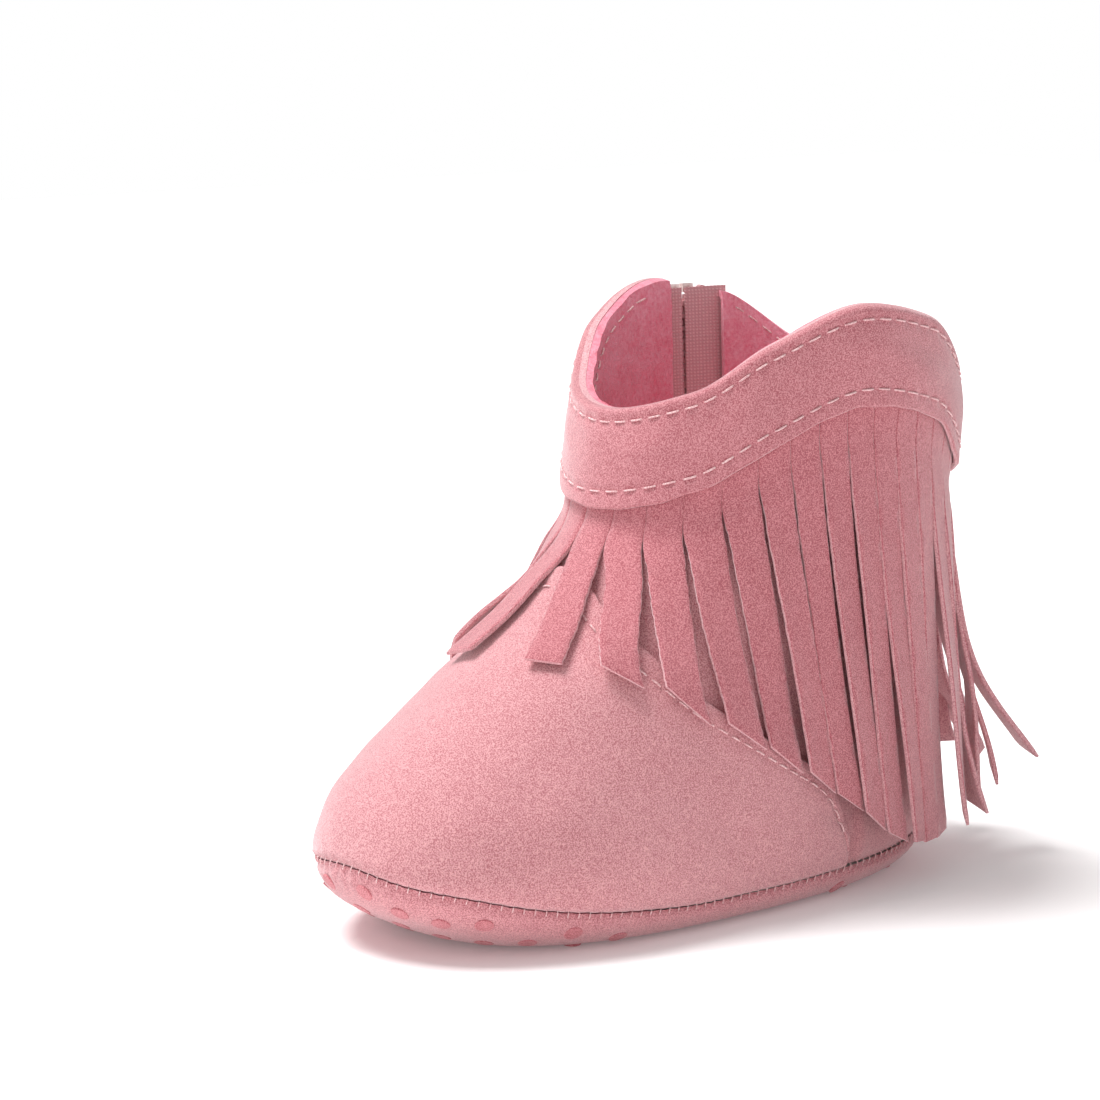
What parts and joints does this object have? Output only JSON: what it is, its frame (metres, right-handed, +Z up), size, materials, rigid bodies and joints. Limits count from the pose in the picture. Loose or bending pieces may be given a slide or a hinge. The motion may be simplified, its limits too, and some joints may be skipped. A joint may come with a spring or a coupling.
{
  "type": "baby bootie",
  "caption": "Soft-sole baby bootie for a left foot: suede-cloth upper, wavy collar, long hanging fringe, side zip and dotted grip sole.",
  "frame": {"origin": "on the ground, at the centre of the bottom face of the grip dot in the middle of the sole", "axes": "+Z up, -Y towards the toe, +X towards the outer side of the left foot"},
  "size_m": [0.0701, 0.143, 0.1049],
  "materials": {
    "upper_suede": "matte napped microfibre suede",
    "fringe_suede": "matte napped microfibre suede, pale cut edges",
    "sole_suede": "matte suede cloth with raised printed grip dots",
    "lining_fleece": "brushed fleece",
    "foam": "soft foam sheet",
    "zip_tape": "woven tape",
    "zip_teeth": "satin nylon",
    "zip_metal": "satin paint",
    "thread": "twisted polyester thread"
  },
  "bodies": {
    "bootie": {"outsole": "sole_suede", "midsole_foam": "foam", "insole": "lining_fleece", "vamp": "upper_suede", "quarter_lateral": "upper_suede", "quarter_medial_front": "upper_suede", "quarter_medial_back": "upper_suede", "vamp_lining": "lining_fleece", "shaft_lining": "lining_fleece", "collar_band": "upper_suede", "fringe_header": "fringe_suede", "zipper_tape_front": "zip_tape", "zipper_tape_back": "zip_tape", "zipper_teeth_front": "zip_teeth", "zipper_teeth_back": "zip_teeth", "zipper_top_stop_front": "zip_metal", "zipper_top_stop_back": "zip_metal", "zipper_bottom_stop": "zip_metal", "collar_top_stitch": "thread", "collar_bottom_stitch": "thread", "vamp_stitch": "thread", "sole_seam_thread": "thread", "zipper_stitch_front": "thread", "zipper_stitch_back": "thread"},
    "slider": {"zipper_slider": "zip_metal"},
    "pull": {"zipper_pull": "zip_metal"},
    "fringe_strip_01": {"fringe_strip_01": "fringe_suede"},
    "fringe_strip_02": {"fringe_strip_02": "fringe_suede"},
    "fringe_strip_03": {"fringe_strip_03": "fringe_suede"},
    "fringe_strip_04": {"fringe_strip_04": "fringe_suede"},
    "fringe_strip_05": {"fringe_strip_05": "fringe_suede"},
    "fringe_strip_06": {"fringe_strip_06": "fringe_suede"},
    "fringe_strip_07": {"fringe_strip_07": "fringe_suede"},
    "fringe_strip_08": {"fringe_strip_08": "fringe_suede"},
    "fringe_strip_09": {"fringe_strip_09": "fringe_suede"},
    "fringe_strip_10": {"fringe_strip_10": "fringe_suede"},
    "fringe_strip_11": {"fringe_strip_11": "fringe_suede"},
    "fringe_strip_12": {"fringe_strip_12": "fringe_suede"},
    "fringe_strip_13": {"fringe_strip_13": "fringe_suede"},
    "fringe_strip_14": {"fringe_strip_14": "fringe_suede"},
    "fringe_strip_15": {"fringe_strip_15": "fringe_suede"},
    "fringe_strip_16": {"fringe_strip_16": "fringe_suede"},
    "fringe_strip_17": {"fringe_strip_17": "fringe_suede"},
    "fringe_strip_18": {"fringe_strip_18": "fringe_suede"},
    "fringe_strip_19": {"fringe_strip_19": "fringe_suede"},
    "fringe_strip_20": {"fringe_strip_20": "fringe_suede"},
    "fringe_strip_21": {"fringe_strip_21": "fringe_suede"},
    "fringe_strip_22": {"fringe_strip_22": "fringe_suede"},
    "fringe_strip_23": {"fringe_strip_23": "fringe_suede"},
    "fringe_strip_24": {"fringe_strip_24": "fringe_suede"},
    "fringe_strip_25": {"fringe_strip_25": "fringe_suede"},
    "fringe_strip_26": {"fringe_strip_26": "fringe_suede"},
    "fringe_strip_27": {"fringe_strip_27": "fringe_suede"},
    "fringe_strip_28": {"fringe_strip_28": "fringe_suede"},
    "fringe_strip_29": {"fringe_strip_29": "fringe_suede"},
    "fringe_strip_30": {"fringe_strip_30": "fringe_suede"},
    "fringe_strip_31": {"fringe_strip_31": "fringe_suede"},
    "fringe_strip_32": {"fringe_strip_32": "fringe_suede"},
    "fringe_strip_33": {"fringe_strip_33": "fringe_suede"},
    "fringe_strip_34": {"fringe_strip_34": "fringe_suede"}
  },
  "joints": [
    {"name": "zipper_slide", "type": "slide", "parent": "bootie", "child": "slider", "axis": [0.0552, -0.0129, -0.9984], "range_m": [0, 0.046]},
    {"name": "zipper_pull_swing", "type": "hinge", "parent": "slider", "child": "pull", "pos_m": [-0.03088, 0.03378, 0.09667], "axis": [0.0788, 0.9969, -0.0085], "range_deg": [0, 165]},
    {"name": "fringe_strip_01_lift", "type": "hinge", "parent": "bootie", "child": "fringe_strip_01", "pos_m": [-0.02895, 0.02378, 0.08542], "axis": [-0.1206, 0.9628, 0.2419], "range_deg": [0, 70]},
    {"name": "fringe_strip_02_lift", "type": "hinge", "parent": "bootie", "child": "fringe_strip_02", "pos_m": [-0.02792, 0.01838, 0.08336], "axis": [-0.208, 0.8628, 0.4608], "range_deg": [0, 70]},
    {"name": "fringe_strip_03_lift", "type": "hinge", "parent": "bootie", "child": "fringe_strip_03", "pos_m": [-0.0263, 0.01313, 0.08043], "axis": [-0.298, 0.8071, 0.5098], "range_deg": [0, 70]},
    {"name": "fringe_strip_04_lift", "type": "hinge", "parent": "bootie", "child": "fringe_strip_04", "pos_m": [-0.02399, 0.00784, 0.07725], "axis": [-0.3857, 0.7301, 0.564], "range_deg": [0, 70]},
    {"name": "fringe_strip_05_lift", "type": "hinge", "parent": "bootie", "child": "fringe_strip_05", "pos_m": [-0.02078, 0.00232, 0.07276], "axis": [-0.4916, 0.6542, 0.5747], "range_deg": [0, 70]},
    {"name": "fringe_strip_06_lift", "type": "hinge", "parent": "bootie", "child": "fringe_strip_06", "pos_m": [-0.01651, -0.00284, 0.06941], "axis": [-0.6963, 0.62, 0.3616], "range_deg": [0, 70]},
    {"name": "fringe_strip_07_lift", "type": "hinge", "parent": "bootie", "child": "fringe_strip_07", "pos_m": [-0.0112, -0.00696, 0.06738], "axis": [-0.8502, 0.4489, 0.2749], "range_deg": [0, 70]},
    {"name": "fringe_strip_08_lift", "type": "hinge", "parent": "bootie", "child": "fringe_strip_08", "pos_m": [-0.00506, -0.00975, 0.06599], "axis": [-0.967, 0.2077, 0.1472], "range_deg": [0, 70]},
    {"name": "fringe_strip_09_lift", "type": "hinge", "parent": "bootie", "child": "fringe_strip_09", "pos_m": [0.00165, -0.0104, 0.06566], "axis": [-0.9966, -0.0646, -0.051], "range_deg": [0, 70]},
    {"name": "fringe_strip_10_lift", "type": "hinge", "parent": "bootie", "child": "fringe_strip_10", "pos_m": [0.00815, -0.0086, 0.06656], "axis": [-0.917, -0.3336, -0.2187], "range_deg": [0, 70]},
    {"name": "fringe_strip_11_lift", "type": "hinge", "parent": "bootie", "child": "fringe_strip_11", "pos_m": [0.0139, -0.0051, 0.06831], "axis": [-0.7799, -0.543, -0.3113], "range_deg": [0, 70]},
    {"name": "fringe_strip_12_lift", "type": "hinge", "parent": "bootie", "child": "fringe_strip_12", "pos_m": [0.01873, -0.00044, 0.07071], "axis": [-0.5955, -0.6516, -0.4699], "range_deg": [0, 70]},
    {"name": "fringe_strip_13_lift", "type": "hinge", "parent": "bootie", "child": "fringe_strip_13", "pos_m": [0.02246, 0.005, 0.075], "axis": [-0.4258, -0.6736, -0.6041], "range_deg": [0, 70]},
    {"name": "fringe_strip_14_lift", "type": "hinge", "parent": "bootie", "child": "fringe_strip_14", "pos_m": [0.02519, 0.01038, 0.07883], "axis": [-0.3497, -0.7824, -0.5154], "range_deg": [0, 70]},
    {"name": "fringe_strip_15_lift", "type": "hinge", "parent": "bootie", "child": "fringe_strip_15", "pos_m": [0.02713, 0.01558, 0.08185], "axis": [-0.2534, -0.8261, -0.5033], "range_deg": [0, 70]},
    {"name": "fringe_strip_16_lift", "type": "hinge", "parent": "bootie", "child": "fringe_strip_16", "pos_m": [0.02848, 0.02091, 0.08449], "axis": [-0.1683, -0.9077, -0.3844], "range_deg": [0, 70]},
    {"name": "fringe_strip_17_lift", "type": "hinge", "parent": "bootie", "child": "fringe_strip_17", "pos_m": [0.02922, 0.02635, 0.08581], "axis": [-0.0731, -0.9944, -0.0759], "range_deg": [0, 70]},
    {"name": "fringe_strip_18_lift", "type": "hinge", "parent": "bootie", "child": "fringe_strip_18", "pos_m": [0.02933, 0.03183, 0.08544], "axis": [0.0262, -0.9864, 0.1625], "range_deg": [0, 70]},
    {"name": "fringe_strip_19_lift", "type": "hinge", "parent": "bootie", "child": "fringe_strip_19", "pos_m": [0.02883, 0.0373, 0.08429], "axis": [0.1304, -0.9565, 0.2609], "range_deg": [0, 70]},
    {"name": "fringe_strip_20_lift", "type": "hinge", "parent": "bootie", "child": "fringe_strip_20", "pos_m": [0.02771, 0.04267, 0.0828], "axis": [0.235, -0.9061, 0.3518], "range_deg": [0, 70]},
    {"name": "fringe_strip_21_lift", "type": "hinge", "parent": "bootie", "child": "fringe_strip_21", "pos_m": [0.02585, 0.04784, 0.07999], "axis": [0.3024, -0.7525, 0.5851], "range_deg": [0, 70]},
    {"name": "fringe_strip_22_lift", "type": "hinge", "parent": "bootie", "child": "fringe_strip_22", "pos_m": [0.02322, 0.05264, 0.07601], "axis": [0.3979, -0.6856, 0.6096], "range_deg": [0, 70]},
    {"name": "fringe_strip_23_lift", "type": "hinge", "parent": "bootie", "child": "fringe_strip_23", "pos_m": [0.01983, 0.05695, 0.07259], "axis": [0.5652, -0.6833, 0.4622], "range_deg": [0, 70]},
    {"name": "fringe_strip_24_lift", "type": "hinge", "parent": "bootie", "child": "fringe_strip_24", "pos_m": [0.0158, 0.06066, 0.07055], "axis": [0.7215, -0.5981, 0.3489], "range_deg": [0, 70]},
    {"name": "fringe_strip_25_lift", "type": "hinge", "parent": "bootie", "child": "fringe_strip_25", "pos_m": [0.01111, 0.0635, 0.06877], "axis": [0.8455, -0.4397, 0.303], "range_deg": [0, 70]},
    {"name": "fringe_strip_26_lift", "type": "hinge", "parent": "bootie", "child": "fringe_strip_26", "pos_m": [0.00593, 0.06527, 0.06742], "axis": [0.9506, -0.2408, 0.1958], "range_deg": [0, 70]},
    {"name": "fringe_strip_27_lift", "type": "hinge", "parent": "bootie", "child": "fringe_strip_27", "pos_m": [0.00049, 0.0659, 0.06683], "axis": [0.9997, -0.0176, 0.0182], "range_deg": [0, 70]},
    {"name": "fringe_strip_28_lift", "type": "hinge", "parent": "bootie", "child": "fringe_strip_28", "pos_m": [-0.00498, 0.06546, 0.06725], "axis": [0.9646, 0.2019, -0.1696], "range_deg": [0, 70]},
    {"name": "fringe_strip_29_lift", "type": "hinge", "parent": "bootie", "child": "fringe_strip_29", "pos_m": [-0.01022, 0.06389, 0.06849], "axis": [0.8664, 0.4075, -0.2888], "range_deg": [0, 70]},
    {"name": "fringe_strip_30_lift", "type": "hinge", "parent": "bootie", "child": "fringe_strip_30", "pos_m": [-0.01501, 0.06123, 0.07022], "axis": [0.7437, 0.5727, -0.3449], "range_deg": [0, 70]},
    {"name": "fringe_strip_31_lift", "type": "hinge", "parent": "bootie", "child": "fringe_strip_31", "pos_m": [-0.01916, 0.05766, 0.07215], "axis": [0.5983, 0.6786, -0.426], "range_deg": [0, 70]},
    {"name": "fringe_strip_32_lift", "type": "hinge", "parent": "bootie", "child": "fringe_strip_32", "pos_m": [-0.02267, 0.05344, 0.07532], "axis": [0.4218, 0.6825, -0.5969], "range_deg": [0, 70]},
    {"name": "fringe_strip_33_lift", "type": "hinge", "parent": "bootie", "child": "fringe_strip_33", "pos_m": [-0.02544, 0.04872, 0.07931], "axis": [0.3152, 0.7331, -0.6027], "range_deg": [0, 70]},
    {"name": "fringe_strip_34_lift", "type": "hinge", "parent": "bootie", "child": "fringe_strip_34", "pos_m": [-0.02744, 0.0436, 0.08248], "axis": [0.2499, 0.8835, -0.3961], "range_deg": [0, 70]}
  ]
}
